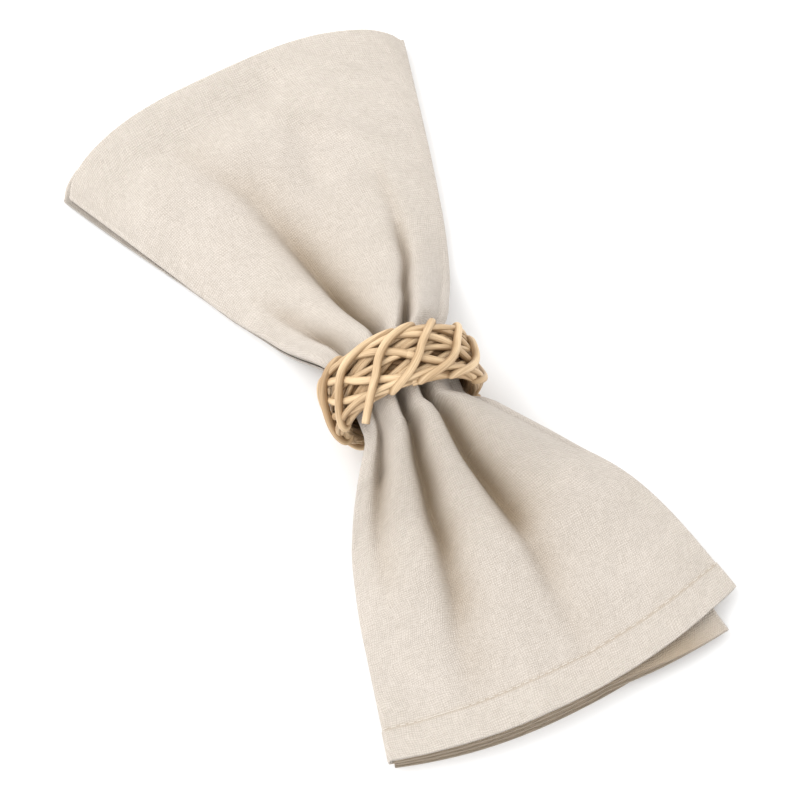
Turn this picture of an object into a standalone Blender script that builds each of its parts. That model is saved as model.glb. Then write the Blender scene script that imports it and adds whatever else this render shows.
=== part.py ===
"""Table napkin gathered through a woven cane ring.

The napkin is a hemmed square of cloth.  It is folded in half across, then in half twice
lengthwise, so the folded cloth is four double layers lying on each other.  It is drawn
through the ring at its middle and fans out flat at both ends.  The ring stands on the
table and lifts the middle of the cloth.

Frame: Z is up, Y runs along the napkin towards its folded end, and the table is Z = 0.
Sizes are in millimetres and are turned into metres where the meshes are made.
"""
import math

import bmesh
import bpy
import numpy as np

MM = 0.001

# Ring
RING_OUTER = 27.0          # outer radius
RING_WALL = 8.0            # thickness of the wall
RING_WIDTH = 21.5          # length along its axis
RING_YAW = -7.5            # degrees it is turned from the napkin's length
RING_STEPS = 48            # facets round the ring
RIM_STEPS = 16             # facets round the wall's section
RIM_POWER = 2.3            # 2 makes the wall's section an ellipse, more makes it squarer

# Folded napkin
HEM_END = -111.0           # middle of the hemmed end, from the ring's middle
FOLD_END = 133.5           # middle of the folded end
SHEET = 1.1                # thickness of a double layer
STACK_PITCH = 1.9          # height from layer to layer in the fans
RING_PITCH = 2.4           # height from layer to layer inside the ring
CREASE = 0.45              # how round the side folds are at the ends, where they are pressed

# Bundle inside the ring
GATHER = 17.0              # half width
RING_REACH = 11.0          # the bundle keeps its width this far from the ring's middle
LIFT = 9.0                 # rise of the lowest layer's middle above the table
SIDE_RISE = 10.5           # how much more its two sides rise
SWELL_IN_RING = 29.0       # how far the top layer stands over a flat stack
SWELL_IN_FAN = 3.2         # the same at the napkin's ends
FULL_POWER = 3.4           # fullness of the swell from side to side
BOWL_POWER = 2.6           # roundness of the lowest layer

BOTTOM, SECOND, THIRD, TOP = range(4)
SWELL_SHARE = (0.0, 0.3, 0.62, 1.0)   # share of the swell that each layer takes

# Facets: cross lines along the napkin, and places across a layer, closer at the pleats
STATIONS = (HEM_END, -102, -91, -79, -67, -56, -46, -37, -29, -22, -17, -13, -9, 0,
            9, 16, 23, 32, 43, 57, 75, 94, 114, FOLD_END)
ACROSS = (-1, -0.93, -0.84, -0.76, -0.69, -0.6, -0.48, -0.39, -0.33, -0.28, -0.23, -0.16,
          -0.06, 0.06, 0.17, 0.25, 0.31, 0.36, 0.41, 0.47, 0.56, 0.68, 0.8, 0.91, 1)
NARROW_TURN = 2            # points round the folds that join neighbouring layers
WIDE_TURN = 4              # points round the fold that wraps the stack

# Each pleat: its place across the cloth, then (station, shift across, depth, width).
# Places, shifts and widths are shares of the stack's half width.
PLEATS = (
    (-0.28, ((-108, -0.24, 0.0, 0.16), (-82, -0.19, 2.0, 0.13), (-60, -0.11, 6.3, 0.11),
             (-42, -0.05, 10.5, 0.11), (-26, 0.01, 13.5, 0.12), (-13, 0.06, 14.0, 0.14),
             (12, 0.12, 14.0, 0.14), (30, 0.08, 13.0, 0.13), (55, 0.05, 8.8, 0.13),
             (85, 0.02, 3.8, 0.14), (108, -0.11, 1.3, 0.14), (124, -0.14, 0.0, 0.16))),
    (0.36, ((-110, -0.24, 0.2, 0.14), (-84, -0.22, 1.3, 0.12), (-62, -0.185, 4.0, 0.11),
            (-46, -0.165, 11.0, 0.12), (-32, -0.15, 14.0, 0.11), (-13, -0.05, 14.0, 0.14),
            (12, 0.0, 14.0, 0.12), (28, 0.14, 8.5, 0.08), (45, 0.24, 5.5, 0.07),
            (64, 0.26, 1.5, 0.08), (90, 0.24, 0.0, 0.10))),
    (-0.80, ((-64, 0.0, 0.0, 0.12), (-42, 0.02, 2.6, 0.12), (-22, 0.06, 7.5, 0.13),
             (-12, 0.04, 8.0, 0.12), (12, 0.0, 8.0, 0.10), (24, 0.06, 9.0, 0.09),
             (38, 0.06, 4.0, 0.09), (60, 0.0, 0.0, 0.10))),
)


def smooth(x):
    """Smooth step from 0 to 1."""
    x = np.clip(x, 0.0, 1.0)
    return x * x * (3.0 - 2.0 * x)


def between(v, places, values):
    """Value at v on a curve through (place, value) pairs, eased from each to the next."""
    places = np.asarray(places, float)
    values = np.asarray(values, float)
    index = np.clip(np.searchsorted(places, v) - 1, 0, len(places) - 2)
    share = smooth((v - places[index]) / (places[index + 1] - places[index]))
    return values[index] * (1.0 - share) + values[index + 1] * share


def beyond_ring(v):
    """Distance past the stretch that the ring holds."""
    return np.maximum(np.abs(v) - RING_REACH, 0.0)


def lag(v, spot):
    """How far a cross line's point stays behind its middle, most at the two sides."""
    reach = np.where(v < 0.0, -HEM_END, FOLD_END) - RING_REACH
    most = np.where(v < 0.0, 10.0, -12.5)
    power = np.where(v < 0.0, 2.2, 3.0)
    rounding = np.clip((np.abs(spot) - 0.84) / 0.16, 0.0, 1.0)
    corner = np.where(v < 0.0, 0.0, -4.2) * (1.0 - np.sqrt(1.0 - 0.98 * rounding ** 2))
    return (most * np.abs(spot) ** power + corner) * (beyond_ring(v) / reach) ** 1.5


def spread(d, quick, reach, power, steady, puff):
    """Widening of one side: a quick part that levels off, a steady part, and a puff
    where the cloth has left the ring."""
    past = np.maximum(d - 2.0, 0.0) / 3.0
    return (quick * (1.0 - np.exp(-(d / reach) ** power)) + steady * d
            + puff * past * np.exp(1.0 - past))


def edges(v):
    """Left and right limit of the stack at each cross line, less the side folds."""
    d = beyond_ring(v + lag(v, 0.86))
    left = np.where(v < 0.0, spread(d, 14.0, 16.0, 1.4, 0.275, 0.0),
                    spread(d, 1.0, 15.0, 1.4, 0.40, 0.0))
    right = np.where(v < 0.0, spread(d, 37.5, 24.8, 1.4, 0.155, 2.3),
                     spread(d, 17.0, 23.0, 1.2, 0.25, 1.5))
    return -(GATHER - 1.5 + left), GATHER - 3.0 + right


def along_pleat(v, rows, column):
    """One value of a pleat at each station."""
    return between(v, [row[0] for row in rows], [row[column] for row in rows])


def pleat_shift(xi, v):
    """Sideways shift of the cloth that carries each pleat to its place."""
    shift = np.zeros(np.broadcast(xi, v).shape)
    for place, rows in PLEATS:
        shift = shift + along_pleat(v, rows, 1) * smooth(1.0 - np.abs(xi - place) / 0.6)
    return shift


def pleat_depth(xi, v):
    """Depth of the pleats: each is depth / (1 + (distance / width)^2)^1.5, where the
    distance counts for more on its left, so that side is steeper."""
    depth = np.zeros(np.broadcast(xi, v).shape)
    for place, rows in PLEATS:
        offset = (xi - place) / along_pleat(v, rows, 3)
        offset = np.where(offset < 0.0, 1.5 * offset, 0.8 * offset)
        depth = depth + along_pleat(v, rows, 2) / (1.0 + offset ** 2) ** 1.5
    return depth


def stack(xi, v, layer):
    """Middle surface of one layer: x, y and z.

    xi runs from -1 on the left side to 1 on the right, v along the napkin.  The lowest
    layer lies on the table and rises through the ring.  Each layer above it adds one
    pitch and its share of the swell, from which the pleats are taken.
    """
    left, right = edges(v)
    spot = xi + pleat_shift(xi, v)
    x = 0.5 * (left + right) + 0.5 * (right - left) * spot
    y = v + lag(v, spot)

    d = beyond_ring(v)
    in_ring = 1.0 - smooth(d / 32.0)
    low = SHEET / 2.0 + in_ring * (LIFT + SIDE_RISE * np.abs(spot) ** BOWL_POWER)
    pitch = RING_PITCH + (STACK_PITCH - RING_PITCH) * smooth(d / 40.0)
    pressed = smooth((-spot - 0.7) / 0.3) * smooth((v - 30.0) / 40.0)
    pitch = pitch * (1.0 - 0.075 * layer * pressed)
    crown = 1.0 - np.abs(spot) ** FULL_POWER
    swell = SWELL_IN_FAN + (SWELL_IN_RING - SWELL_IN_FAN) * np.exp(-(d / 33.0) ** 1.25)
    swell = swell * crown - pleat_depth(xi, v) * np.minimum(1.0, 3.0 * crown)
    z = low + layer * pitch + SWELL_SHARE[layer] * np.maximum(swell, -0.4)

    # The under layers part from the top one towards the ends: the two free edges slip past
    # the fold on the left.  At the right corner of the hemmed end the outer fold is nipped
    # together, and the inner fold is drawn in and stands out past it.
    at_hem = smooth((-v - 50.0) / 60.0)
    at_fold = smooth((v - 20.0) / 80.0)
    under = (TOP - layer) / 3.0
    rightward = smooth((spot - 0.2) / 0.8)
    x = x - under * at_fold * rightward
    if layer in (BOTTOM, SECOND):
        x = x - ((1.4 + layer) * smooth((v - 50.0) / 75.0) - 0.8 * at_hem) * smooth(-spot)
        y = y + at_fold - at_hem * under * (1.0 - smooth((spot - 0.3) / 0.5))
    if layer in (SECOND, THIRD):
        x = x - 9.0 * at_hem * rightward
        stand_out = 10.4 * np.clip(1.18 * spot - 0.18, 0.0, 1.0) ** 1.3
        y = y - at_fold - at_hem * (0.3 * layer + stand_out - 0.3)
    nip = at_hem * smooth((spot - 0.84) / 0.16)
    if layer == BOTTOM:
        z = z + 3.1 * nip
        y = y + 1.2 * at_hem * smooth((spot - 0.3) / 0.5)
    if layer == TOP:
        z = z - 1.3 * nip

    follow_ring = math.tan(math.radians(-RING_YAW)) * np.clip(v, -RING_REACH, RING_REACH)
    return x + follow_ring, y, z


def thicken(middle):
    """Half thickness vectors of a layer, upwards, taller where the layer is steep."""
    slope = np.gradient(middle[:, :, 2], axis=1) / np.gradient(middle[:, :, 0], axis=1)
    half = np.zeros_like(middle)
    half[:, :, 2] = 0.5 * SHEET * np.minimum(np.sqrt(1.0 + slope ** 2), 2.0)
    return half


def turn(layer, following, bulge, steps, roundness):
    """The side fold from the end of one layer to the start of the next.

    Each argument layer is its (middle, half thickness).  The middle line is half an
    ellipse that bulges to one side (bulge 1 or -1), and the thickness turns with it.
    """
    start, end = layer[0][:, -1], following[0][:, 0]
    first, last = layer[1][:, -1, 2:], following[1][:, 0, 2:]
    angle = np.linspace(0.0, math.pi, steps + 2)[None, 1:-1]
    sine, cosine = np.sin(angle), np.cos(angle)

    middle = (0.5 * (start + end)[:, None] + 0.5 * (start - end)[:, None] * cosine[:, :, None])
    rise = (end - start)[:, 2:]
    middle[:, :, 0] += bulge * roundness * 0.5 * np.abs(rise) * sine

    ends = 0.5 * np.abs(first) * (1.0 + cosine) + 0.5 * np.abs(last) * (1.0 - cosine)
    size = ends + (0.5 * SHEET - ends) * sine
    half = np.zeros_like(middle)
    half[:, :, 0] = -bulge * np.sign(first * rise) * size * sine
    half[:, :, 2] = np.sign(first) * size * cosine
    return middle, half


def ribbon():
    """Middle line and half thickness of the folded cloth at every station.

    The line starts at the second layer's free edge, runs right, turns up, runs left
    along the third layer, turns up, runs right along the top layer, turns down round
    the first fold and runs left along the bottom layer to the other free edge.
    Returns two arrays (stations, points, 3).
    """
    v = np.array(STATIONS, float)[:, None]
    xi = np.array(ACROSS, float)[None, :]
    roundness = 1.0 - (1.0 - CREASE) * smooth(beyond_ring(v) / 60.0)
    layers = []
    for layer in range(4):
        middle = np.stack(np.broadcast_arrays(*stack(xi, v, layer)), axis=-1)
        half = thicken(middle)
        if layer in (THIRD, BOTTOM):
            middle, half = middle[:, ::-1], -half[:, ::-1]
        layers.append((middle, half))

    second, third, top, bottom = (layers[k] for k in (SECOND, THIRD, TOP, BOTTOM))
    pieces = (second, turn(second, third, 1.0, NARROW_TURN, roundness),
              third, turn(third, top, -1.0, NARROW_TURN, roundness),
              top, turn(top, bottom, 1.0, WIDE_TURN, roundness), bottom)
    return tuple(np.concatenate(part, axis=1) for part in zip(*pieces))


def shell(middle, half):
    """Vertices and faces of the closed sheet: both sides and the four rims."""
    rows, columns = middle.shape[:2]
    vertices = np.concatenate([(middle + half).reshape(-1, 3), (middle - half).reshape(-1, 3)])
    index = np.arange(rows * columns).reshape(rows, columns)
    back = index + rows * columns
    side = np.stack([index[:-1, :-1], index[:-1, 1:], index[1:, 1:], index[1:, :-1]], -1)
    other = np.stack([back[:-1, :-1], back[1:, :-1], back[1:, 1:], back[:-1, 1:]], -1)
    rim = np.concatenate([index[0, ::-1], index[1:, 0], index[-1, 1:], index[-2:0:-1, -1]])
    back_rim = rim + rows * columns
    edge = np.stack([rim, back_rim, np.roll(back_rim, -1), np.roll(rim, -1)], -1)
    return vertices, np.concatenate([side.reshape(-1, 4), other.reshape(-1, 4), edge])


def make_object(name, vertices, faces, material):
    """Mesh object with closed, outward faces, from points in millimetres."""
    mesh = bpy.data.meshes.new(name)
    mesh.from_pydata((vertices * MM).tolist(), [], faces.tolist())
    build = bmesh.new()
    build.from_mesh(mesh)
    bmesh.ops.recalc_face_normals(build, faces=build.faces)
    build.to_mesh(mesh)
    build.free()
    mesh.shade_smooth()
    mesh.set_sharp_from_angle(angle=math.radians(40.0))
    mesh.materials.append(material)
    obj = bpy.data.objects.new(name, mesh)
    bpy.context.scene.collection.objects.link(obj)
    return obj


def make_material(name, colour, roughness):
    """Plain Principled BSDF."""
    material = bpy.data.materials.new(name)
    material.use_nodes = True
    shader = material.node_tree.nodes["Principled BSDF"]
    shader.inputs["Base Color"].default_value = colour + (1.0,)
    shader.inputs["Roughness"].default_value = roughness
    shader.inputs["Metallic"].default_value = 0.0
    material.diffuse_color = colour + (1.0,)
    return material


def make_napkin():
    """The folded, gathered cloth as one closed sheet."""
    cloth = make_material("cotton_linen", (0.74, 0.68, 0.60), 0.9)
    return make_object("napkin", *shell(*ribbon()), cloth)


def make_ring():
    """The ring: a rounded wall turned about a level axis, standing on the table."""
    around = np.linspace(0.0, 2.0 * math.pi, RIM_STEPS, endpoint=False)
    depth, width = (np.sign(part) * np.abs(part) ** (2.0 / RIM_POWER)
                    for part in (np.cos(around), np.sin(around)))
    radius = RING_OUTER - RING_WALL / 2.0 * (1.0 - depth)[None, :]
    turned = np.linspace(0.0, 2.0 * math.pi, RING_STEPS, endpoint=False)[:, None]
    across = radius * np.sin(turned)
    along = np.broadcast_to(RING_WIDTH / 2.0 * width[None, :], across.shape)
    height = RING_OUTER - radius * np.cos(turned)
    yaw = math.radians(RING_YAW)
    points = np.stack([across * math.cos(yaw) - along * math.sin(yaw),
                       across * math.sin(yaw) + along * math.cos(yaw), height], axis=-1)
    index = np.arange(RING_STEPS * RIM_STEPS).reshape(RING_STEPS, RIM_STEPS)
    ahead = np.roll(index, -1, axis=0)
    faces = np.stack([index, ahead, np.roll(ahead, -1, axis=1), np.roll(index, -1, axis=1)], -1)
    cane = make_material("rattan", (0.55, 0.37, 0.19), 0.55)
    return make_object("ring", points.reshape(-1, 3), faces.reshape(-1, 4), cane)


def centre(objects):
    """Move the meshes so that the middle of their shared box stands over the origin."""
    points = [vertex.co for obj in objects for vertex in obj.data.vertices]
    middle_x = 0.5 * (min(p.x for p in points) + max(p.x for p in points))
    middle_y = 0.5 * (min(p.y for p in points) + max(p.y for p in points))
    for point in points:
        point.x -= middle_x
        point.y -= middle_y


def main():
    for obj in list(bpy.data.objects):
        bpy.data.objects.remove(obj, do_unlink=True)
    centre([make_napkin(), make_ring()])


main()
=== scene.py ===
import math

import bpy
import numpy as np
from mathutils import Matrix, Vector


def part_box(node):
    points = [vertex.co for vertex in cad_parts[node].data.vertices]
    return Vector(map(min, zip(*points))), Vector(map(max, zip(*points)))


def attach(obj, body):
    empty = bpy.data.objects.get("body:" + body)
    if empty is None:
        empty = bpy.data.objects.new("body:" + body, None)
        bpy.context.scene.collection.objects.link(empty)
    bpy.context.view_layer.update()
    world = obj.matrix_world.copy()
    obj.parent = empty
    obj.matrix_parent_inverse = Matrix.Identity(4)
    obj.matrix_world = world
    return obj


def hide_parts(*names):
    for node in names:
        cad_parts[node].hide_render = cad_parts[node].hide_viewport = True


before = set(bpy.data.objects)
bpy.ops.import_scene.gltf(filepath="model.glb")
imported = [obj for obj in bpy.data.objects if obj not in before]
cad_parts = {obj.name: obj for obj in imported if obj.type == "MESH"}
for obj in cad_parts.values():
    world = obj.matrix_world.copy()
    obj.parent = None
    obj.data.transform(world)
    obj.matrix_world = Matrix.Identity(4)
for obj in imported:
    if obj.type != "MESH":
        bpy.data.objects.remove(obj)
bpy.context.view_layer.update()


# Camera
# It looks down on the napkin from a high stand at the hemmed end, turned a little to the
# left, with a long lens. It is aimed just below the middle of the ring.
ring_low, ring_high = (np.array(corner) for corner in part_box("ring"))
ring_middle = 0.5 * (ring_low + ring_high)

camera_azimuth = math.radians(-27.6)
camera_elevation = math.radians(68.0)
camera_distance = 1.0433
camera_right = np.array([math.cos(camera_azimuth), math.sin(camera_azimuth), 0.0])
camera_back = np.array([math.sin(camera_azimuth) * math.cos(camera_elevation),
                        -math.cos(camera_azimuth) * math.cos(camera_elevation),
                        math.sin(camera_elevation)])
camera_up = np.cross(camera_back, camera_right)
camera_aim = ring_middle - 0.000626 * camera_right - 0.004695 * camera_up
camera_place = camera_aim + camera_distance * camera_back


def standing(right, up, back, place):
    """Matrix of a thing that stands at a place and faces away from its back direction."""
    turned_rows = np.stack([right, up, back], 1)
    return Matrix([[*row, along_axis] for row, along_axis in zip(turned_rows, place)]
                  + [[0.0, 0.0, 0.0, 1.0]])


camera = bpy.data.objects.new("camera", bpy.data.cameras.new("camera"))
bpy.context.scene.collection.objects.link(camera)
camera.data.sensor_width = 36.0
camera.data.lens = 150.0
camera.matrix_world = standing(camera_right, camera_up, camera_back, camera_place)
bpy.context.scene.camera = camera


# Napkin
# A hemmed square of undyed cotton and linen, folded in half across and then in half twice
# lengthwise, so that eight plies lie on each other. Only the ring holds it: the middle is
# drawn through it in deep pleats, and both ends lie fanned out on the table.
MM = 0.001
CUT_SIZE = 508.0                          # side of the square, between its finished hems
LAYER_WIDTH, SIDE_BEND = 124.0, 4.0       # how that side is shared by the layers and side folds
HEM_END, FOLD_END = -111.0, 133.5         # the two ends, from the ring's middle
PLY_OUTSIDE, PLY_INSIDE = 0.52, 0.11      # the two faces of a ply, from the fold's middle
HEM_FACE = 0.84                           # the outer face where the hem is turned in
HEM_WIDTH = 12.0
LAYER = 1.1                               # a pair of plies
FAN_PITCH, RING_PITCH = 1.9, 2.4          # from pair to pair in the fans and in the ring
GATHER, RING_REACH = 17.0, 11.0           # half width in the ring, and how far it is kept
SWELL_IN_RING, SWELL_IN_FAN = 29.0, 3.2   # rise of the top over a flat stack
LIFT, SIDE_RISE = 9.0, 10.5               # rise of the lowest pair in the ring
BOTTOM, SECOND, THIRD, TOP = range(4)
SWELL_SHARE = (0.0, 0.3, 0.62, 1.0)
SIDE_STEPS = (5, 5, 9)                    # points round each side fold
BEND_STEPS = 5                            # points round the cross fold
ring_yaw = math.radians(-7.5)

# Each pleat: its place across, then (place along, shift across, depth, width).
PLEATS = (
    (-0.28, ((-108, -0.24, 0.0, 0.16), (-82, -0.19, 2.0, 0.13), (-60, -0.11, 6.3, 0.11),
             (-42, -0.05, 10.5, 0.11), (-26, 0.01, 13.5, 0.12), (-13, 0.06, 14.0, 0.14),
             (12, 0.12, 14.0, 0.14), (30, 0.08, 13.0, 0.13), (55, 0.05, 8.8, 0.13),
             (85, 0.02, 3.8, 0.14), (108, -0.11, 1.3, 0.14), (124, -0.14, 0.0, 0.16))),
    (0.36, ((-110, -0.24, 0.2, 0.14), (-84, -0.22, 1.3, 0.12), (-62, -0.185, 4.0, 0.11),
            (-46, -0.165, 11.0, 0.12), (-32, -0.15, 14.0, 0.11), (-13, -0.05, 14.0, 0.14),
            (12, 0.0, 14.0, 0.12), (28, 0.14, 8.5, 0.08), (45, 0.24, 5.5, 0.07),
            (64, 0.26, 1.5, 0.08), (90, 0.24, 0.0, 0.10))),
    (-0.80, ((-64, 0.0, 0.0, 0.12), (-42, 0.02, 2.6, 0.12), (-22, 0.06, 7.5, 0.13),
             (-12, 0.04, 8.0, 0.12), (12, 0.0, 8.0, 0.10), (24, 0.06, 9.0, 0.09),
             (38, 0.06, 4.0, 0.09), (60, 0.0, 0.0, 0.10))),
)

# Softer troughs in the fans and beside the ring, as (x, y) of both ends, depth and width.
# A ridge has a negative depth.
CREASES = (
    (-42, 115, 10, 121, 3.0, 7.0), (14, 103, 10, 82, 2.2, 5.5), (-37, 126, -17, 111, -0.5, 2.2),
    (0, 110, 4, 104, 0.45, 1.6), (-30, 100, -50, 98, -0.6, 3.5), (26, 112, 33, 70, -0.7, 5.0),
    (16, -62, 14, -97, 0.9, 3.4), (-15, -62, -23, -84, 0.8, 3.2), (38, -48, 47, -88, -0.7, 6.0),
    (-38, -66, -44, -100, 0.6, 3.5), (-4, -80, -6, -108, -0.6, 5.0), (30, -92, 40, -104, 0.5, 3.0),
    (-12, -13, -17, -22, 3.6, 2.6), (-17, -22, -24, -37, 1.0, 3.2),
)


def smooth(x):
    """Smooth step from 0 to 1."""
    x = np.clip(x, 0.0, 1.0)
    return x * x * (3.0 - 2.0 * x)


def between(v, places, values):
    """Curve through (place, value) pairs, eased from each pair to the next."""
    places, values = np.asarray(places, float), np.asarray(values, float)
    index = np.clip(np.searchsorted(places, v) - 1, 0, len(places) - 2)
    share = smooth((v - places[index]) / (places[index + 1] - places[index]))
    return values[index] * (1.0 - share) + values[index + 1] * share


def beyond_ring(v):
    """Distance past the stretch that the ring holds."""
    return np.maximum(np.abs(v) - RING_REACH, 0.0)


def lag(v, spot):
    """Cross lines bow: their sides stay behind by most * |spot|^power, growing to the ends."""
    reach = np.where(v < 0.0, -HEM_END, FOLD_END) - RING_REACH
    most = np.where(v < 0.0, 10.0, -12.5)
    power = np.where(v < 0.0, 2.2, 3.0)
    rounding = np.clip((np.abs(spot) - 0.84) / 0.16, 0.0, 1.0)
    corner = np.where(v < 0.0, 0.0, -4.2) * (1.0 - np.sqrt(1.0 - 0.98 * rounding ** 2))
    return (most * np.abs(spot) ** power + corner) * (beyond_ring(v) / reach) ** 1.5


def spread(d, quick, reach, power, steady):
    """A side widens by quick * (1 - e^-(d/reach)^power) + steady * d."""
    return quick * (1.0 - np.exp(-(d / reach) ** power)) + steady * d


def edges(v):
    """Left and right limit of the folded cloth, less its side folds."""
    d = beyond_ring(v + lag(v, 0.86))
    left = np.where(v < 0.0, spread(d, 14.0, 16.0, 1.4, 0.275), spread(d, 1.0, 15.0, 1.4, 0.40))
    right = np.where(v < 0.0, spread(d, 37.5, 24.8, 1.4, 0.155), spread(d, 17.0, 23.0, 1.2, 0.25))
    past = np.maximum(d - 2.0, 0.0) / 3.0
    right = right + np.where(v < 0.0, 2.3, 1.5) * past * np.exp(1.0 - past)
    return -(GATHER - 1.5 + left), GATHER - 3.0 + right


def along_pleat(v, rows, column):
    """One value of a pleat along the cloth."""
    return between(v, [row[0] for row in rows], [row[column] for row in rows])


def pleat_shift(xi, v):
    """Sideways shift of the cloth that carries each pleat to its place."""
    return sum(along_pleat(v, rows, 1) * smooth(1.0 - np.abs(xi - place) / 0.6)
               for place, rows in PLEATS)


def pleat_depth(xi, v):
    """Each pleat is depth / (1 + (distance / width)^2)^1.5, steeper on its left."""
    total = 0.0
    for place, rows in PLEATS:
        offset = (xi - place) / along_pleat(v, rows, 3)
        offset = np.where(offset < 0.0, 1.5 * offset, 0.8 * offset)
        total = total + along_pleat(v, rows, 2) / (1.0 + offset ** 2) ** 1.5
    return total


def soft_creases(x, y):
    """Each is depth * e^-(distance to its line / width)^2."""
    total = 0.0
    for x0, y0, x1, y1, depth, width in CREASES:
        length = math.hypot(x1 - x0, y1 - y0)
        share = np.clip(((x - x0) * (x1 - x0) + (y - y0) * (y1 - y0)) / length ** 2, 0.0, 1.0)
        away = np.hypot(x - x0 - share * (x1 - x0), y - y0 - share * (y1 - y0))
        total = total + depth * np.exp(-(away / width) ** 2)
    return total


def folded_layer(xi, v, layer):
    """Middle surface of one pair of plies, as x, y, z in millimetres from the ring's foot.

    xi runs from -1 at the left to 1 at the right, v along the napkin. The height is the
    lowest pair's rise, plus the pitch for each pair below, plus this pair's share of the
    swell less the pleats.
    """
    left, right = edges(v)
    spot = xi + pleat_shift(xi, v)
    x = 0.5 * (left + right) + 0.5 * (right - left) * spot
    y = v + lag(v, spot)

    d = beyond_ring(v)
    low = LAYER / 2.0 + (1.0 - smooth(d / 32.0)) * (LIFT + SIDE_RISE * np.abs(spot) ** 2.6)
    pitch = RING_PITCH + (FAN_PITCH - RING_PITCH) * smooth(d / 40.0)
    pressed = layer * smooth((-spot - 0.7) / 0.3) * smooth((v - 30.0) / 40.0)
    pitch = pitch * (1.0 - 0.075 * pressed)
    crown = 1.0 - np.abs(spot) ** 3.4
    swell = SWELL_IN_FAN + (SWELL_IN_RING - SWELL_IN_FAN) * np.exp(-(d / 33.0) ** 1.25)
    swell = swell * crown - pleat_depth(xi, v) * np.minimum(1.0, 3.0 * crown)
    swell = swell - soft_creases(x, y) * np.minimum(1.0, 3.0 * crown)
    # The hidden pairs ripple where the ring bunches them.
    if layer in (SECOND, THIRD):
        swell = swell * (1.0 + 0.13 * np.sin(27.0 * xi + layer) * (1.0 - smooth(d / 70.0)))
    z = low + layer * pitch + SWELL_SHARE[layer] * np.maximum(swell, -0.4)

    # The hidden pairs part from the top one towards the ends. At the hem's right corner the
    # outer fold is nipped together, and the inner fold stands out past it.
    at_hem, at_fold = smooth((-v - 50.0) / 60.0), smooth((v - 20.0) / 80.0)
    under, rightward = (TOP - layer) / 3.0, smooth((spot - 0.2) / 0.8)
    x = x - under * at_fold * rightward
    if layer in (BOTTOM, SECOND):
        x = x - ((1.4 + layer) * smooth((v - 50.0) / 75.0) - 0.8 * at_hem) * smooth(-spot)
        y = y + at_fold - at_hem * under * (1.0 - smooth((spot - 0.3) / 0.5))
    if layer in (SECOND, THIRD):
        past_outer = 10.4 * np.clip(1.18 * spot - 0.18, 0.0, 1.0) ** 1.3
        x = x - 9.0 * at_hem * rightward
        y = y - at_fold - at_hem * (0.3 * layer + past_outer - 0.3)
    nip = at_hem * smooth((spot - 0.84) / 0.16)
    if layer == BOTTOM:
        z = z + 3.1 * nip
        y = y + 1.2 * at_hem * smooth((spot - 0.3) / 0.5)
    if layer == TOP:
        z = z - 1.3 * nip
    # The cloth follows the turned ring's axis for as long as the ring holds it.
    x = x - math.tan(ring_yaw) * np.clip(v, -RING_REACH, RING_REACH)
    return np.stack(np.broadcast_arrays(x, y, z), axis=-1)


def layer_thickness(middle):
    """Half thickness of a pair of plies, upwards, taller by 1 / cos(slope) to a limit of 2."""
    slope = np.gradient(middle[:, :, 2], axis=1) / np.gradient(middle[:, :, 0], axis=1)
    half = np.zeros_like(middle)
    half[:, :, 2] = 0.5 * LAYER * np.minimum(np.sqrt(1.0 + slope ** 2), 2.0)
    return half


def side_fold(layer, following, bulge, steps, roundness):
    """Half an ellipse from one layer's end to the next one's start, thickness turning along."""
    start, end = layer[0][:, -1], following[0][:, 0]
    first, last = layer[1][:, -1, 2:], following[1][:, 0, 2:]
    angle = np.linspace(0.0, math.pi, steps + 2)[None, 1:-1]
    sine, cosine = np.sin(angle), np.cos(angle)
    middle = 0.5 * (start + end)[:, None] + 0.5 * (start - end)[:, None] * cosine[:, :, None]
    rise = (end - start)[:, 2:]
    middle[:, :, 0] += bulge * roundness * 0.5 * np.abs(rise) * sine
    ends = 0.5 * np.abs(first) * (1.0 + cosine) + 0.5 * np.abs(last) * (1.0 - cosine)
    size = ends + (0.5 * LAYER - ends) * sine
    half = np.zeros_like(middle)
    half[:, :, 0] = -bulge * np.sign(first * rise) * size * sine
    half[:, :, 2] = np.sign(first) * size * cosine
    return middle, half


def painted_fold_shade(xi, v, layer):
    """Painted shade: how far the cloth's colour is darkened and warmed in a fold, before it is
    cut off at 1.

    It grows with the pleats, less so inside the ring, and is high on the layers under the
    hem, where they lie in shade. On the top layer there is a line of it in the groove where
    the hem is sewn down.
    """
    shade = 0.09 * pleat_depth(xi, v) * (0.4 + 0.6 * smooth((np.abs(v) - 5.0) / 20.0))
    if layer == TOP:
        return shade + 0.5 * np.exp(-((v - HEM_END - HEM_WIDTH + 0.8) / 0.5) ** 2)
    return shade + 0.8 * smooth((-v - 95.0) / 12.0) * (1.0 - 0.6 * smooth((xi - 0.75) / 0.25))


def grid_faces(rows, columns, first=0):
    """Quads of a grid of points, row after row."""
    index = first + np.arange(rows * columns).reshape(rows, columns)
    return np.stack([index[:-1, :-1], index[:-1, 1:], index[1:, 1:], index[1:, :-1]],
                    -1).reshape(-1, 4)


def rim_faces(rows, columns):
    """Quads that join the four borders of two like grids, the second after the first."""
    index = np.arange(rows * columns).reshape(rows, columns)
    rim = np.concatenate([index[0, ::-1], index[1:, 0], index[-1, 1:], index[-2:0:-1, -1]])
    other = rim + rows * columns
    return np.stack([rim, other, np.roll(other, -1), np.roll(rim, -1)], -1)


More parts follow.
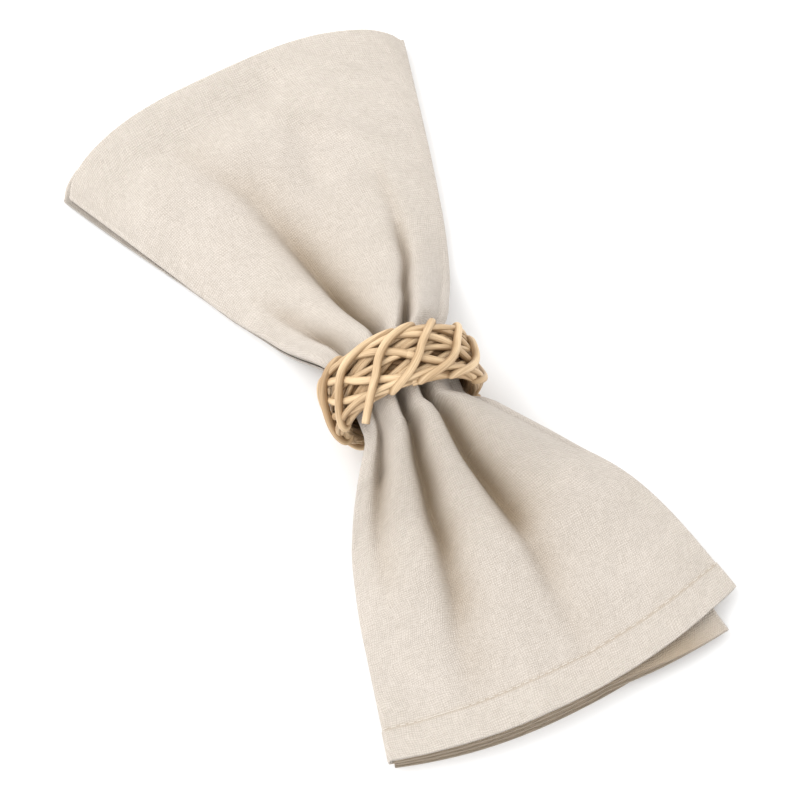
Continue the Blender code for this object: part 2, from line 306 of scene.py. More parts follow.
def new_piece(name, points, faces, corner_uv=None):
    """Smooth mesh object from points in millimetres, with faces turned outwards.

    The volume is a sixth of the sum of each triangle's corner product. If it comes out
    negative, every face is turned round.
    """
    triangles = np.concatenate([faces[:, [0, 1, 2]], faces[:, [0, 2, 3]]])
    a, b, c = (points[triangles[:, k]] for k in range(3))
    if np.einsum("ij,ij->i", a, np.cross(b, c)).sum() < 0.0:
        faces = faces[:, ::-1]
        corner_uv = None if corner_uv is None else corner_uv[:, ::-1]
    mesh = bpy.data.meshes.new(name)
    mesh.vertices.add(len(points))
    mesh.vertices.foreach_set("co", (points * MM).ravel())
    mesh.loops.add(faces.size)
    mesh.loops.foreach_set("vertex_index", faces.ravel())
    mesh.polygons.add(len(faces))
    mesh.polygons.foreach_set("loop_start", np.arange(len(faces)) * 4)
    if corner_uv is not None:
        layer = mesh.uv_layers.new(name="surface")
        layer.data.foreach_set("uv", corner_uv.ravel())
    mesh.update(calc_edges=True)
    mesh.validate()
    mesh.shade_smooth()
    piece = bpy.data.objects.new(name, mesh)
    bpy.context.scene.collection.objects.link(piece)
    return piece


# Rows along the cloth are closest at the hem and through the ring.
hem_rows = np.array([0.0, 0.25, 0.8, 3.5, 7.0, 10.2, 10.8, 11.3, 11.8, 12.4, 14.0])
along = np.concatenate([HEM_END + hem_rows, np.linspace(HEM_END + 16.5, -47.0, 16),
                        np.linspace(-44.5, 44.5, 37), np.linspace(47.5, FOLD_END, 26)])[:, None]
roundness = 1.0 - 0.55 * smooth(beyond_ring(along) / 60.0)
across_top = np.linspace(-1.0, 1.0, 81)[None, :]
across_under = np.linspace(-1.0, 1.0, 47)[None, :]
top_middle = across_top.size // 2
layers, shades = [], []
for layer in range(4):
    across = across_top if layer == TOP else across_under
    middle = folded_layer(across, along, layer)
    half = layer_thickness(middle)
    shade = painted_fold_shade(across, along, layer)
    if layer in (THIRD, BOTTOM):
        middle, half, shade = middle[:, ::-1], -half[:, ::-1], shade[:, ::-1]
    layers.append((middle, half))
    shades.append(np.clip(shade, 0.0, 1.0))
stretches = (layers[SECOND],
             side_fold(layers[SECOND], layers[THIRD], 1.0, SIDE_STEPS[0], roundness),
             layers[THIRD],
             side_fold(layers[THIRD], layers[TOP], -1.0, SIDE_STEPS[1], roundness),
             layers[TOP],
             side_fold(layers[TOP], layers[BOTTOM], 1.0, SIDE_STEPS[2], roundness),
             layers[BOTTOM])
middle, half = (np.concatenate(part, axis=1) for part in zip(*stretches))
unit = half / (0.5 * LAYER)
# Painted shade across the whole width, none on the side folds.
unshaded = [np.zeros((len(along), steps)) for steps in SIDE_STEPS]
shade = np.concatenate([shades[SECOND], unshaded[0], shades[THIRD], unshaded[1], shades[TOP],
                        unshaded[2], shades[BOTTOM]], axis=1)

# Cloth coordinates on the cut square: s across all the layers, t from hem to cross fold.
widths = [stretch[0].shape[1] for stretch in stretches]
lengths = [LAYER_WIDTH, SIDE_BEND] * 3 + [LAYER_WIDTH]
starts = np.concatenate([[0.0], np.cumsum(lengths)])
cloth_s = np.concatenate([
    np.linspace(start, start + length, count) if length > SIDE_BEND
    else np.linspace(start, start + length, count + 2)[1:-1]
    for start, length, count in zip(starts, lengths, widths)])
steps = np.linalg.norm(np.diff(layers[TOP][0][:, top_middle], axis=0), axis=1)
cloth_t = np.concatenate([[0.0], np.cumsum(steps)])
cloth_t *= 0.5 * CUT_SIZE / cloth_t[-1]

# Weave coordinates: lengths measured on the cloth itself, out from the middle of the top.
weave_s = np.linalg.norm(np.diff(middle, axis=1, prepend=middle[:, :1]), axis=2)
weave_s = np.cumsum(weave_s, axis=1)
weave_s -= weave_s[:, [sum(widths[:4]) + top_middle]]


def hem_rise(s, t):
    """1 where the hem is turned in, 0 past it, with a groove where it is sewn down.

    The distance is taken to the nearest of the square's finished edges, and the very edge
    is rounded.
    """
    d = np.minimum(np.minimum(s, CUT_SIZE - s)[None, :], t[:, None])
    rise = 1.0 - smooth((d - HEM_WIDTH + 0.9) / 1.0)
    groove = 0.95 * np.exp(-((d - HEM_WIDTH + 0.8) / 0.6) ** 2)
    return rise - groove * (d < 2.0 * HEM_WIDTH) - 0.45 * (1.0 - smooth(d / 0.8))


outside = PLY_OUTSIDE + (HEM_FACE - PLY_OUTSIDE) * hem_rise(cloth_s, cloth_t)
turned = np.linspace(0.0, math.pi, BEND_STEPS + 2)[1:-1, None, None]
onward = middle[-1] - middle[-2]
onward /= np.linalg.norm(onward, axis=-1, keepdims=True)


def both_plies(offset):
    """A face of the cloth: out along one ply, half a turn round the cross fold, and back."""
    at_fold = offset[-1][:, None]
    bend = middle[-1] + at_fold * (unit[-1] * np.cos(turned) + onward * np.sin(turned))
    step = offset[:, :, None] * unit
    return np.concatenate([middle + step, bend, (middle - step)[::-1]])


def on_both_plies(values):
    """Values of one ply's grid, repeated round the cross fold and back along the other ply."""
    return np.concatenate([values, np.repeat(values[-1:], BEND_STEPS, axis=0), values[::-1]])


outer = both_plies(outside)
outer[:, :, 2] = np.maximum(outer[:, :, 2], 0.05)
inner = both_plies(np.full_like(outside, PLY_INSIDE))
rows, columns = outer.shape[:2]
place_on_table = np.array([ring_middle[0], ring_middle[1], 0.0]) / MM
cloth_points = np.concatenate([outer.reshape(-1, 3), inner.reshape(-1, 3)]) + place_on_table
cloth_faces = np.concatenate([grid_faces(rows, columns),
                              grid_faces(rows, columns, rows * columns)[:, ::-1],
                              rim_faces(rows, columns)])
t_round = np.linspace(cloth_t[-1], CUT_SIZE - cloth_t[-1], BEND_STEPS + 2)[1:-1]
t_all = np.concatenate([cloth_t, t_round, CUT_SIZE - cloth_t[::-1]])
cloth_uv = np.broadcast_arrays(on_both_plies(weave_s), t_all[:, None])
cloth_uv = np.tile(np.stack(cloth_uv, -1).reshape(-1, 2), (2, 1)) / CUT_SIZE
napkin = new_piece("folded_napkin", cloth_points, cloth_faces, cloth_uv[cloth_faces])
# The painted shade of the folds goes on the cloth as a point value, which darkens its colour.
painted_crease_shade = napkin.data.attributes.new("painted_crease_shade", "FLOAT", "POINT")
painted_crease_shade.data.foreach_set("value", np.tile(on_both_plies(shade).ravel(), 2))


def nodes_of(material):
    """Node tree of a new material, and a function that adds a node and sets its values."""
    tree = material.node_tree

    def add(kind, inputs=(), **settings):
        node = tree.nodes.new(kind)
        for name, value in settings.items():
            setattr(node, name, value)
        for socket, value in dict(inputs).items():
            if isinstance(value, bpy.types.NodeSocket):
                tree.links.new(value, node.inputs[socket])
            else:
                node.inputs[socket].default_value = value
        return node
    return tree, add


def new_group(name, inputs, outputs):
    """Empty shader node group with named inputs and outputs, as (name, kind) pairs."""
    group = bpy.data.node_groups.new(name, "ShaderNodeTree")
    for direction, sockets in (("INPUT", inputs), ("OUTPUT", outputs)):
        for label, kind in sockets:
            group.interface.new_socket(label, in_out=direction, socket_type="NodeSocket" + kind)
    return group


class GroupHolder:
    """Lets nodes_of work on a group as on a material."""
    def __init__(self, group):
        self.node_tree = group


# Slubs: threads of uneven thickness, as noise drawn out along one direction.
slub_group = new_group("slub_threads", (("Vector", "Vector"), ("Pitch", "Float")),
                       (("Height", "Float"),))
tree, add = nodes_of(GroupHolder(slub_group))
ends = add("NodeGroupInput")
warp_map = add("ShaderNodeVectorMath", {0: ends.outputs["Vector"], 1: (1.0, 0.2, 1.0)},
               operation="MULTIPLY")
weft_map = add("ShaderNodeVectorMath", {0: ends.outputs["Vector"], 1: (0.2, 1.0, 1.0)},
               operation="MULTIPLY")
pitch_scale = add("ShaderNodeMath", {0: 1.0, 1: ends.outputs["Pitch"]}, operation="DIVIDE")
warp = add("ShaderNodeTexNoise", {"Vector": warp_map.outputs[0], "Scale": pitch_scale.outputs[0],
                                  "Detail": 2.0, "Roughness": 0.6}, noise_dimensions="2D")
weft = add("ShaderNodeTexNoise", {"Vector": weft_map.outputs[0], "Scale": pitch_scale.outputs[0],
                                  "Detail": 2.0, "Roughness": 0.6}, noise_dimensions="2D")
both = add("ShaderNodeMath", {0: warp.outputs[0], 1: weft.outputs[0]}, operation="MAXIMUM")
add("NodeGroupOutput", {"Height": both.outputs[0]})

# Plain weave: each crossing is a small cushion, |sin(pi u / pitch) sin(pi v / pitch)|.
weave_group = new_group("plain_weave", (("Vector", "Vector"), ("Pitch", "Float")),
                        (("Height", "Float"),))
tree, add = nodes_of(GroupHolder(weave_group))
ends = add("NodeGroupInput")
turns = add("ShaderNodeMath", {0: math.pi, 1: ends.outputs["Pitch"]}, operation="DIVIDE")
scaled = add("ShaderNodeVectorMath", {0: ends.outputs["Vector"], "Scale": turns.outputs[0]},
             operation="SCALE")
parts = add("ShaderNodeSeparateXYZ", {0: scaled.outputs[0]})
sines = [add("ShaderNodeMath", {0: parts.outputs[k]}, operation="SINE") for k in range(2)]
crossing = add("ShaderNodeMath", {0: sines[0].outputs[0], 1: sines[1].outputs[0]},
               operation="MULTIPLY")
cushion = add("ShaderNodeMath", {0: crossing.outputs[0]}, operation="ABSOLUTE")
add("NodeGroupOutput", {"Height": cushion.outputs[0]})

THREAD_PITCH = 0.72
cloth_finish = bpy.data.materials.new("undyed_cotton_linen")
cloth_finish.use_nodes = True
tree, add = nodes_of(cloth_finish)
shader = tree.nodes["Principled BSDF"]
shader.inputs["Roughness"].default_value = 0.92
shader.inputs["Sheen Weight"].default_value = 0.12
shader.inputs["Sheen Roughness"].default_value = 0.45
uv = add("ShaderNodeUVMap", uv_map="surface")
cloth_mm = add("ShaderNodeMapping", {"Vector": uv.outputs[0], "Scale": (CUT_SIZE, CUT_SIZE, 1.0)})
drift = add("ShaderNodeTexNoise", {"Vector": cloth_mm.outputs[0], "Scale": 0.11, "Detail": 2.0},
            noise_dimensions="2D")
drift_by = add("ShaderNodeVectorMath", {0: drift.outputs["Color"], 1: (-0.5, -0.5, -0.5)},
               operation="ADD")
wandering = add("ShaderNodeVectorMath", {0: drift_by.outputs[0], 1: (2.2, 2.2, 0.0),
                                         2: cloth_mm.outputs[0]}, operation="MULTIPLY_ADD")
weave = add("ShaderNodeGroup", {"Vector": wandering.outputs[0], "Pitch": THREAD_PITCH},
            node_tree=weave_group)
slub = add("ShaderNodeGroup", {"Vector": wandering.outputs[0], "Pitch": THREAD_PITCH},
           node_tree=slub_group)
fuzz = add("ShaderNodeTexNoise", {"Vector": cloth_mm.outputs[0], "Scale": 1.1, "Detail": 3.0,
                                  "Roughness": 0.7}, noise_dimensions="2D")
clouds = add("ShaderNodeTexNoise", {"Vector": cloth_mm.outputs[0], "Scale": 0.055, "Detail": 3.0,
                                    "Roughness": 0.6}, noise_dimensions="2D")
thread_height = add("ShaderNodeMath", {0: slub.outputs[0], 1: 1.6, 2: weave.outputs[0]},
                    operation="MULTIPLY_ADD")
full_height = add("ShaderNodeMath", {0: fuzz.outputs[0], 1: 0.9, 2: thread_height.outputs[0]},
                  operation="MULTIPLY_ADD")
bump = add("ShaderNodeBump", {"Height": full_height.outputs[0], "Strength": 0.7,
                              "Distance": 0.00025})
cloud_part = add("ShaderNodeMath", {0: clouds.outputs[0], 1: 0.25}, operation="MULTIPLY")
tone = add("ShaderNodeMath", {0: thread_height.outputs[0], 1: 0.5, 2: cloud_part.outputs[0]},
           operation="MULTIPLY_ADD")
colour = add("ShaderNodeValToRGB", {"Fac": tone.outputs[0]})
colour.color_ramp.elements[0].position = 0.35
colour.color_ramp.elements[0].color = (0.448, 0.395, 0.337, 1.0)
colour.color_ramp.elements[1].position = 1.0
colour.color_ramp.elements[1].color = (0.630, 0.570, 0.508, 1.0)
# Painted shade: the cloth's colour is mixed towards a dark warm brown where the folds lie in
# shade.
painted_shade_value = add("ShaderNodeAttribute", attribute_name="painted_crease_shade")
painted_fold_shade_colour = add("ShaderNodeMix", {"Factor": painted_shade_value.outputs["Fac"], "A": colour.outputs[0],
                               "B": (0.36, 0.275, 0.185, 1.0)}, data_type="RGBA")
tree.links.new(painted_fold_shade_colour.outputs["Result"], shader.inputs["Base Color"])
tree.links.new(bump.outputs[0], shader.inputs["Normal"])
napkin.data.materials.append(cloth_finish)

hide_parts("napkin")
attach(napkin, "root")


# Hem stitches
# A lockstitch in undyed cotton thread runs round all four sides, close to the inner fold
# of the hem, and holds it down. Each stitch is a short run of thread that dips at its ends.
STITCH_PITCH, STITCH_LENGTH, THREAD_RADIUS = 2.9, 2.1, 0.19
STITCH_LINE = HEM_WIDTH - 1.15


def on_cloth(s, t):
    """Point of the outer face at cloth coordinates, between the four nearest grid points."""
    i = np.clip(np.searchsorted(t_all, t) - 1, 0, rows - 2)
    j = np.clip(np.searchsorted(cloth_s, s) - 1, 0, columns - 2)
    a = ((t - t_all[i]) / (t_all[i + 1] - t_all[i]))[:, None]
    b = ((s - cloth_s[j]) / (cloth_s[j + 1] - cloth_s[j]))[:, None]
    near = outer[i, j] * (1 - b) + outer[i, j + 1] * b
    far = outer[i + 1, j] * (1 - b) + outer[i + 1, j + 1] * b
    return near * (1 - a) + far * a


def stitch_line(start, end):
    """Stitches on a straight line of the cut square: (count, ring, side, xyz) points.

    Each is a tube of five rings of six points, thinner and lower at both ends.
    """
    start, end = np.array(start, float), np.array(end, float)
    count = int(np.linalg.norm(end - start) / STITCH_PITCH)
    direction = (end - start) / np.linalg.norm(end - start)
    middles = start + direction * (np.arange(count)[:, None] + 0.5) * STITCH_PITCH
    side = np.array([direction[1], -direction[0]])
    centre = on_cloth(*middles.T)
    ahead = on_cloth(*(middles + 0.5 * direction).T) - on_cloth(*(middles - 0.5 * direction).T)
    beside = on_cloth(*(middles + 0.4 * side).T) - on_cloth(*(middles - 0.4 * side).T)
    ahead /= np.linalg.norm(ahead, axis=1, keepdims=True)
    up = np.cross(beside, ahead)
    up /= np.linalg.norm(up, axis=1, keepdims=True)
    beside = np.cross(ahead, up)
    place = np.array([-0.5, -0.36, 0.0, 0.36, 0.5])[None, :, None, None] * STITCH_LENGTH
    girth = np.array([0.35, 0.85, 1.0, 0.85, 0.35])[None, :, None, None] * THREAD_RADIUS
    rise = np.array([-0.16, 0.0, 0.06, 0.0, -0.16])[None, :, None, None]
    angle = np.linspace(0.0, 2.0 * math.pi, 6, endpoint=False)[None, None, :, None]
    ahead, beside, up = (w[:, None, None, :] for w in (ahead, beside, up))
    return (centre[:, None, None, :] + ahead * place + up * (rise + girth * np.sin(angle))
            + beside * girth * np.cos(angle))


far_line = CUT_SIZE - STITCH_LINE
stitches = np.concatenate([
    stitch_line((STITCH_LINE, STITCH_LINE), (far_line, STITCH_LINE)),
    stitch_line((far_line, far_line), (STITCH_LINE, far_line)),
    stitch_line((STITCH_LINE, far_line), (STITCH_LINE, STITCH_LINE)),
    stitch_line((far_line, STITCH_LINE), (far_line, far_line))])
around = np.arange(6)
one_stitch = np.concatenate(
    [np.stack([ring * 6 + around, ring * 6 + (around + 1) % 6, ring * 6 + 6 + (around + 1) % 6,
               ring * 6 + 6 + around], -1) for ring in range(4)]
    + [np.array([[0, 5, 4, 3], [0, 3, 2, 1], [24, 25, 26, 27], [24, 27, 28, 29]])])
stitch_faces = (one_stitch[None] + 30 * np.arange(len(stitches))[:, None, None]).reshape(-1, 4)
stitches[..., 2] = np.maximum(stitches[..., 2], 0.02)
hem_stitches = new_piece("hem_stitches", stitches.reshape(-1, 3) + place_on_table, stitch_faces)

thread_finish = bpy.data.materials.new("undyed_cotton_thread")
thread_finish.use_nodes = True
tree, add = nodes_of(thread_finish)
shader = tree.nodes["Principled BSDF"]
shader.inputs["Roughness"].default_value = 0.8
place = add("ShaderNodeTexCoord")
twist_map = add("ShaderNodeMapping", {"Vector": place.outputs["Object"], "Scale": (1000.0,) * 3})
slub = add("ShaderNodeGroup", {"Vector": twist_map.outputs[0], "Pitch": 0.3},
           node_tree=slub_group)
colour = add("ShaderNodeValToRGB", {"Fac": slub.outputs[0]})
colour.color_ramp.elements[0].color = (0.55, 0.50, 0.44, 1.0)
colour.color_ramp.elements[1].color = (0.71, 0.655, 0.585, 1.0)
bump = add("ShaderNodeBump", {"Height": slub.outputs[0], "Strength": 0.5, "Distance": 0.0001})
tree.links.new(colour.outputs[0], shader.inputs["Base Color"])
tree.links.new(bump.outputs[0], shader.inputs["Normal"])
hem_stitches.data.materials.append(thread_finish)
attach(hem_stitches, "root")


# Ring
# Natural peeled rattan cane. Round canes and a flat coil make the band, three canes slant
# across them, and the last is wound over all from rim to rim. Its cut end is left lying out
# over the hem side.
RING_REFERENCE = 25.0      # radius at which lengths round the ring are measured
RIM_POWER = 2.3            # of the superellipse that the wall's section is
OUTER_RADIUS, OUTER_DEPTH, OUTER_WIDTH = 22.7, 2.9, 9.35     # the outer cane's winding
OUTER_CANE = 1.32          # half its width
LINING_TURNS, LINING_PITCH, LINING_RADIUS = 9.0, 1.98, 19.95
ROUND_CANE = 1.05          # half the thickness of the round canes
ROUND_CANES = ((23.7, -7.3), (21.6, -8.0), (23.0, 0.6), (23.6, 7.2), (21.5, 8.0))
FREE_STEPS = 12            # points along the free end


def on_ring(round_ring, turn, middle_radius, depth, width):
    """Points and outward normals of a winding, in millimetres.

    round_ring is the length round the ring from its top, turn the angle round the wall's
    section: 0 outside, a quarter at the rim of the folded end, a half inside. The section
    is a superellipse, depth * cos^(2/p) by width * sin^(2/p).
    """
    power = 2.0 / RIM_POWER
    radius = middle_radius + depth * np.sign(np.cos(turn)) * np.abs(np.cos(turn)) ** power
    place = width * np.sign(np.sin(turn)) * np.abs(np.sin(turn)) ** power
    out = np.cos(turn) / np.maximum(depth, 0.5)
    aside = np.sin(turn) / width
    size = np.hypot(out, aside)
    return polar(round_ring, radius, place), polar_direction(round_ring, out / size, aside / size)


def polar_direction(round_ring, out, aside):
    """Direction with a part away from the ring's axis and a part along it."""
    angle = round_ring / RING_REFERENCE
    across, up = out * np.sin(angle), out * np.cos(angle)
    return np.stack([across * math.cos(ring_yaw) - aside * math.sin(ring_yaw),
                     across * math.sin(ring_yaw) + aside * math.cos(ring_yaw), up], -1)


def polar(round_ring, radius, place):
    """Point at a length round the ring, a radius and a place along its axis."""
    return ring_middle / MM + polar_direction(round_ring, radius, place)


def cane(path, normal, half_width, half_depth, closed, sides=14):
    """Tube along a path, elliptical across: points, faces and corner coordinates.

    The section's depth lies along the normal, less its part along the path. The corner
    coordinates are the length in centimetres and the share of the way round.
    """
    if closed:
        tangent = np.roll(path, -1, 0) - np.roll(path, 1, 0)
    else:
        tangent = np.gradient(path, axis=0)
    tangent /= np.linalg.norm(tangent, axis=1, keepdims=True)
    normal = normal - (normal * tangent).sum(1, keepdims=True) * tangent
    normal /= np.linalg.norm(normal, axis=1, keepdims=True)
    side = np.cross(tangent, normal)
    angle = np.linspace(0.0, 2.0 * math.pi, sides, endpoint=False)[None, :, None]
    half_width, half_depth = (np.broadcast_to(h, len(path))[:, None, None]
                              for h in (half_width, half_depth))
    points = (path[:, None] + side[:, None] * half_width * np.cos(angle)
              + normal[:, None] * half_depth * np.sin(angle)).reshape(-1, 3)
    count = len(path) if closed else len(path) - 1
    i, j = (k.ravel() for k in np.meshgrid(np.arange(count), np.arange(sides), indexing="ij"))
    ahead, beside = (i + 1) % len(path), (j + 1) % sides
    faces = np.stack([i * sides + j, ahead * sides + j, ahead * sides + beside,
                      i * sides + beside], -1)
    length = np.concatenate([[0.0], np.cumsum(np.linalg.norm(np.diff(path, axis=0), axis=1))])
    length = np.append(length, length[-1] + 1.0) / 10.0
    corner_uv = np.stack([np.stack([length[i], length[i + 1], length[i + 1], length[i]], -1),
                          np.stack([j, j, j + 1, j + 1], -1) / sides], -1)
    return points, faces, corner_uv


def capped(tube, sides=14):
    """A tube's end faces added: fans of quads across both ends, with their own coordinates."""
    points, faces, corner_uv = tube
    last = len(points) - sides
    fan = np.array([[0, 2 * k + 1, 2 * k + 2, 2 * k + 3] for k in range((sides - 2) // 2)]) % sides
    across = np.stack([np.cos(2 * math.pi * fan / sides), np.sin(2 * math.pi * fan / sides)], -1)
    ends = np.concatenate([fan, last + fan[:, ::-1]])
    ends_uv = np.concatenate([across, across[:, ::-1]]) * 0.1 - 3.0
    return points, np.concatenate([faces, ends]), np.concatenate([corner_uv, ends_uv])


def joined(parts):
    """Several (points, faces, corner coordinates) as one."""
    firsts = np.cumsum([0] + [len(part[0]) for part in parts[:-1]])
    return (np.concatenate([part[0] for part in parts]),
            np.concatenate([part[1] + first for part, first in zip(parts, firsts)]),
            np.concatenate([part[2] for part in parts]))


# The slanting canes cross the band this often while they go round it 7 or 9 times.
circle = 2.0 * math.pi * RING_REFERENCE
CROSSINGS = 10


def slanted_cane(start, rounds, middle_radius, depth, width, hand, thickness,
                 moved=(0,) * CROSSINGS):
    """A closed winding that slants down to the right outside (hand -1) and back inside.

    moved is how far each crossing lies from its even place, in order round the ring. The
    cane's thickness varies by a twentieth, as handwork does.
    """
    turn = np.linspace(0.0, 2.0 * math.pi * CROSSINGS, 900, endpoint=False)
    count = turn / (2.0 * math.pi)
    crossing = np.arange(CROSSINGS + 1)
    aside = np.interp(count, crossing, np.array(moved)[crossing * rounds % CROSSINGS])
    round_ring = start + circle * rounds / CROSSINGS * count + aside
    path, normal = on_ring(round_ring, hand * turn, middle_radius, depth, width)
    thick = 0.5 * thickness * (1.0 + 0.05 * np.sin(0.4 * turn + start))
    return cane(path, normal, thick, (0.83 + 0.05 * np.cos(turn)) * thick, True)


# The outer cane crosses steeply and doubles back along the rims, where some of its wraps run
# on further than others. From its cut end it makes one wrap for each place but the last:
# round_ring = place + 7 sin turn - sin(2 turn) / 2 + run * sin^4 turn, run as the side has it.
WRAP_PLACES = (-8.0, 6.0, 19.6, 31.3, 44.5, 57.5, 70.5, 83.0, 95.8, 108.0, 120.6, 133.4, 149.1)
UPPER_RUNS = (5.0, -0.8, 0.0, 2.0, 1.0, 4.0, -0.5, 3.0, 0.0, 2.0, 4.0, 13.0, 0.0)
LOWER_RUNS = (0.0, 2.6, 6.0, 6.0, 3.0, 0.0, 3.0, 0.0, 4.0, 0.0, 0.5, 0.0, 0.0)
WRAPS = len(WRAP_PLACES) - 1
turn = np.linspace(-0.35, 2.0 * math.pi * WRAPS - 2.6, 1100)
wrap = np.round(turn / (2.0 * math.pi)).astype(int)
rise, fall = np.maximum(np.sin(turn), 0.0) ** 4, np.maximum(-np.sin(turn), 0.0) ** 4
round_ring = (np.interp(turn / (2.0 * math.pi), np.arange(WRAPS + 1), WRAP_PLACES)
              + 7.0 * np.sin(turn) - 0.5 * np.sin(2.0 * turn)
              + np.array(UPPER_RUNS)[wrap] * rise - np.array(LOWER_RUNS)[wrap] * fall)
path, normal = on_ring(round_ring, turn,
                       OUTER_RADIUS - 0.09 * np.array(UPPER_RUNS)[wrap] * rise,
                       OUTER_DEPTH - 0.12 * np.abs(np.sin(turn * 0.29)), OUTER_WIDTH)
free_round = np.linspace(-18.6, round_ring[0] - 0.9, FREE_STEPS)
free = polar(free_round, 25.9, np.linspace(-15.5, -5.1, FREE_STEPS))
path = np.concatenate([free, path])
normal = np.concatenate([polar_direction(free_round, 1.0, 0.0), normal])
# It is flatter where it passes through the bore.
inside = 0.5 - 0.5 * np.cos(np.concatenate([np.zeros(FREE_STEPS), turn]))
outer_cane = capped(cane(path, normal, OUTER_CANE - 0.1 * inside, 1.3 - 0.55 * inside ** 2, False))

# A flat cane coiled side by side lines the bore and closes the view through the weave.
coil = np.linspace(0.0, LINING_TURNS, 580)
coil_place = LINING_PITCH * (coil - 0.5 * LINING_TURNS)
coil_radius = LINING_RADIUS + 0.13 * np.maximum(np.abs(coil_place) - 5.5, 0.0) ** 2
lining = capped(cane(polar(circle * coil, coil_radius, coil_place),
                     polar_direction(circle * coil, 1.0, 0.0), 1.02, 0.6, False, 8), 8)

# Round canes run along both rims and the middle, each at its radius and place along the axis.
once = np.linspace(0.0, circle, 180, endpoint=False)
round_canes = [
    cane(polar(once, radius + 0.25 * np.sin(3.0 * once / RING_REFERENCE + radius),
               place + 0.3 * np.sin(5.0 * once / RING_REFERENCE + place)),
         polar_direction(once, 1.0, 0.0), ROUND_CANE, ROUND_CANE, True, 10)
    for radius, place in ROUND_CANES]

third = circle / CROSSINGS / 3.0
ring_parts = joined([outer_cane, lining, *round_canes,
                     slanted_cane(1.8, 7, 22.1, 1.45, 8.1, -1.0, 2.6,
                                  (0.0, 3.5, 1.0, -1.0, 0.5, 1.5, 0.0, 1.3, -3.4, -5.0)),
                     slanted_cane(third, 9, 21.2, 0.6, 8.0, 1.0, 2.2),
                     slanted_cane(2.0 * third, 9, 21.2, 0.6, 8.0, 1.0, 2.2)])
cane_ring = new_piece("cane_ring", *ring_parts)

# Painted shade: each point's colour is darkened by how deep it lies in the weave, 0 at the
# outside of the wall and 1 at the bore: a smooth step of its distance from the bore's
# middle, 7 mm outwards by 10.4 mm along.
from_middle = ring_parts[0] - ring_middle / MM
aside = from_middle[:, 1] * math.cos(ring_yaw) - from_middle[:, 0] * math.sin(ring_yaw)
across = from_middle[:, 0] * math.cos(ring_yaw) + from_middle[:, 1] * math.sin(ring_yaw)
radius = np.hypot(across, from_middle[:, 2])
outward = np.maximum(radius - 19.5, 0.0) / 7.0
painted_weave_shade = cane_ring.data.attributes.new("painted_weave_shade", "FLOAT", "POINT")
painted_weave_shade.data.foreach_set("value", smooth((0.66 - np.hypot(outward, aside / 10.4)) / 0.62))

cane_finish = bpy.data.materials.new("peeled_rattan_cane")
cane_finish.use_nodes = True
tree, add = nodes_of(cane_finish)
shader = tree.nodes["Principled BSDF"]
shader.inputs["Roughness"].default_value = 0.5
uv = add("ShaderNodeUVMap", uv_map="surface")
fibres_map = add("ShaderNodeMapping", {"Vector": uv.outputs[0], "Scale": (0.9, 16.0, 1.0)})
fibres = add("ShaderNodeTexNoise", {"Vector": fibres_map.outputs[0], "Scale": 1.0, "Detail": 4.0,
                                    "Roughness": 0.65}, noise_dimensions="2D")
length_map = add("ShaderNodeMapping", {"Vector": uv.outputs[0], "Scale": (0.35, 2.0, 1.0)})
lengths_tone = add("ShaderNodeTexNoise", {"Vector": length_map.outputs[0], "Scale": 1.0,
                                          "Detail": 2.0}, noise_dimensions="2D")
tone = add("ShaderNodeMath", {0: fibres.outputs[0], 1: 0.7, 2: lengths_tone.outputs[0]},
           operation="MULTIPLY_ADD")
# Painted shade: each cane's colour is darkened towards its flanks, away from the top of its
# section, and deeper in the weave.
round_cane = add("ShaderNodeSeparateXYZ", {0: uv.outputs[0]})
quarter = add("ShaderNodeMath", {0: round_cane.outputs[1], 1: 0.25}, operation="SUBTRACT")
from_top = add("ShaderNodeMath", {0: quarter.outputs[0]}, operation="ABSOLUTE")
painted_flank_shade = add("ShaderNodeMapRange", {"Value": from_top.outputs[0], "From Min": 0.11,
                                   "From Max": 0.25, "To Min": 0.0, "To Max": 0.65})
painted_weave_shade_value = add("ShaderNodeAttribute", attribute_name="painted_weave_shade")
hidden = add("ShaderNodeMath", {0: painted_weave_shade_value.outputs["Fac"], 1: 0.95, 2: painted_flank_shade.outputs[0]},
             operation="MULTIPLY_ADD", use_clamp=True)
colour = add("ShaderNodeValToRGB", {"Fac": tone.outputs[0]})
colour.color_ramp.elements[0].position = 0.58
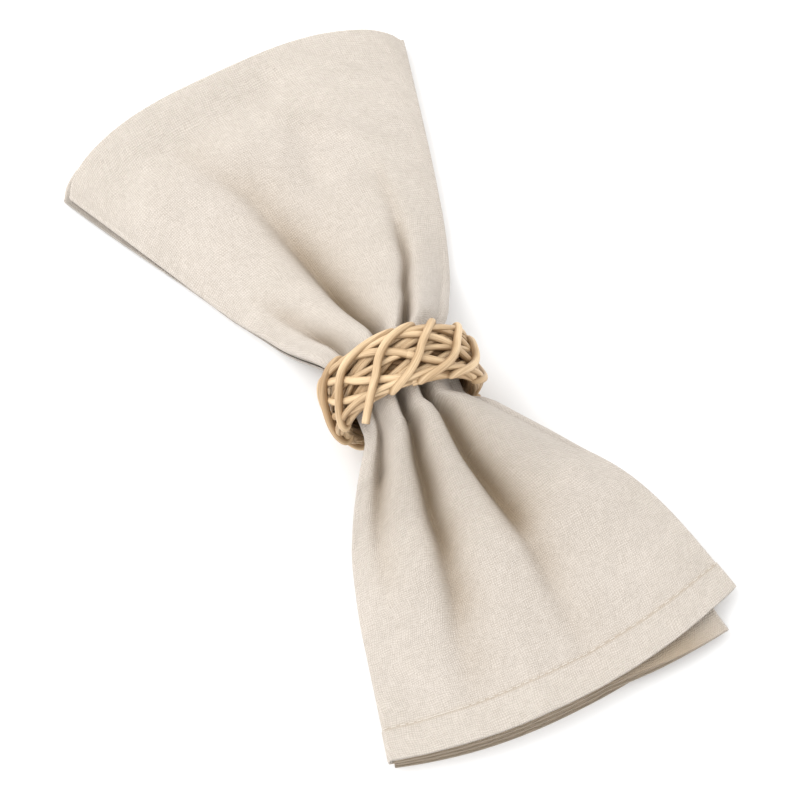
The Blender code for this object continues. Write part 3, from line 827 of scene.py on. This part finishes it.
colour.color_ramp.elements[0].color = (0.40, 0.250, 0.125, 1.0)
colour.color_ramp.elements[1].position = 1.05
colour.color_ramp.elements[1].color = (0.74, 0.545, 0.33, 1.0)
bump = add("ShaderNodeBump", {"Height": fibres.outputs[0], "Strength": 0.7, "Distance": 0.0004})
# Painted shade: the cane's colour is mixed towards a dark brown by that amount.
painted_cane_shade_colour = add("ShaderNodeMix", {"Factor": hidden.outputs[0], "A": colour.outputs[0],
                                 "B": (0.20, 0.105, 0.038, 1.0)}, data_type="RGBA")
tree.links.new(painted_cane_shade_colour.outputs["Result"], shader.inputs["Base Color"])
tree.links.new(bump.outputs[0], shader.inputs["Normal"])
cane_ring.data.materials.append(cane_finish)

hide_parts("ring")
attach(cane_ring, "root")


# Table and light
# A plain white table top, lit by a large soft window light from the upper left and by
# even light from all round.
table = new_piece("table_top", np.array([[-2000.0, -2000.0, 0.0], [2000.0, -2000.0, 0.0],
                                         [2000.0, 2000.0, 0.0], [-2000.0, 2000.0, 0.0]]),
                  np.array([[0, 1, 2, 3]]))
table_finish = bpy.data.materials.new("white_table")
table_finish.use_nodes = True
table_shader = table_finish.node_tree.nodes["Principled BSDF"]
table_shader.inputs["Base Color"].default_value = (0.93, 0.93, 0.93, 1.0)
table_shader.inputs["Roughness"].default_value = 0.9
table.data.materials.append(table_finish)

world = bpy.data.worlds.new("even_light")
world.use_nodes = True
world.node_tree.nodes["Background"].inputs["Color"].default_value = (1.0, 1.0, 1.0, 1.0)
world.node_tree.nodes["Background"].inputs["Strength"].default_value = 1.25
bpy.context.scene.world = world

window = bpy.data.objects.new("window_light", bpy.data.lights.new("window_light", "AREA"))
bpy.context.scene.collection.objects.link(window)
window.data.shape = "SQUARE"
window.data.size = 0.8
window.data.energy = 6.0
window_back = -0.75 * camera_right + 0.55 * camera_up + 0.9 * camera_back
window_back /= np.linalg.norm(window_back)
window_right = np.cross(camera_up, window_back)
window_right /= np.linalg.norm(window_right)
window_up = np.cross(window_back, window_right)
window.matrix_world = standing(window_right, window_up, window_back,
                               ring_middle + 1.1 * window_back)
bpy.context.scene.view_settings.view_transform = "Standard"
